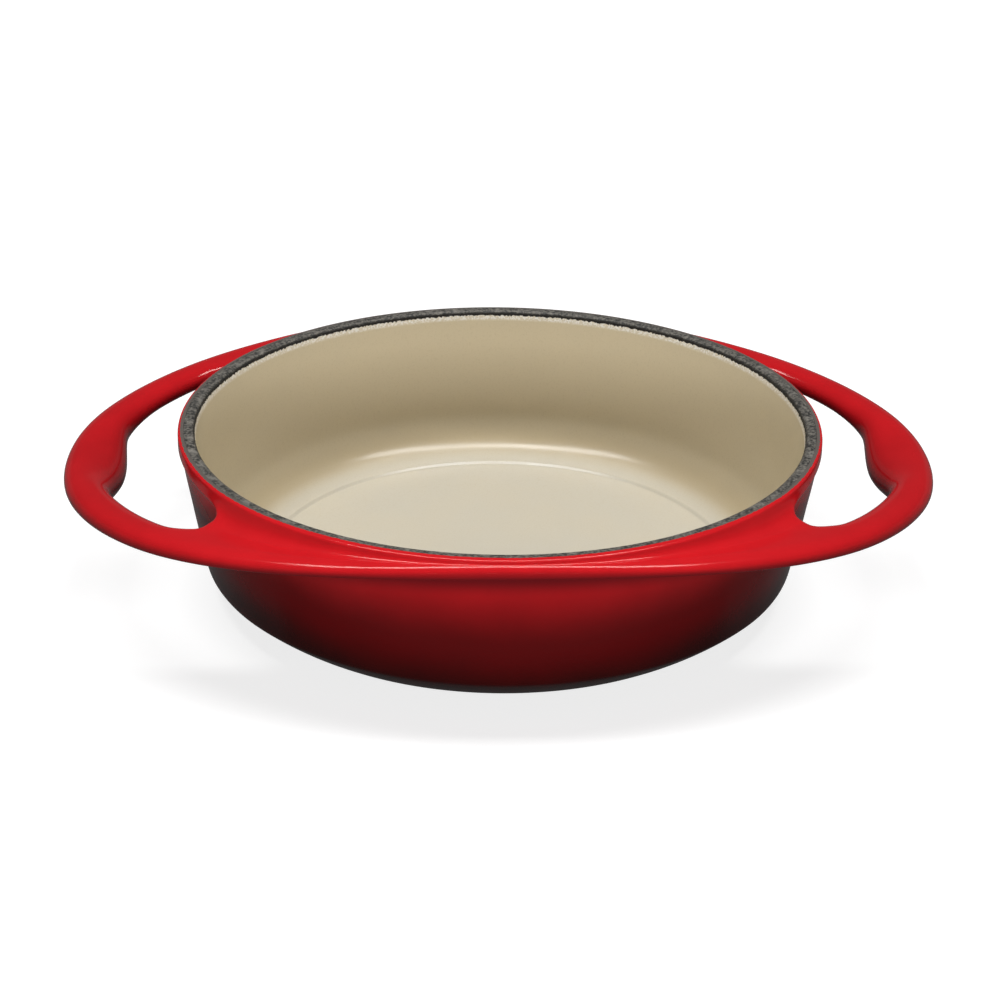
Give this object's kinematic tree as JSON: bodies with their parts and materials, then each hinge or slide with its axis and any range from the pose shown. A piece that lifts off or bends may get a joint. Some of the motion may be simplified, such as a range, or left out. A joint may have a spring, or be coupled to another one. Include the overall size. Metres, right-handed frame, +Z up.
{
  "type": "tarte tatin dish",
  "caption": "Round enamelled cast-iron dish for baking and serving tarts, with a sloping wall, a bare dark rim and an oval ring that forms a loop handle at each end.",
  "frame": {"origin": "middle of the flat face that the dish rests on", "axes": "+X along the line of the handles, +Z up out of the bowl"},
  "size_m": [0.3528, 0.2654, 0.0686],
  "materials": {
    "iron": "as cast, hidden under the enamel",
    "red_enamel": "gloss enamel, fading to near black towards the base",
    "dark_enamel": "satin enamel",
    "sand_enamel": "satin gloss enamel",
    "ground_coat": "matt, slightly rough"
  },
  "bodies": {
    "root": {"iron_casting": "iron", "exterior_enamel": "red_enamel", "base_enamel": "dark_enamel", "interior_enamel": "sand_enamel", "rim_ground_coat": "ground_coat"}
  },
  "joints": []
}
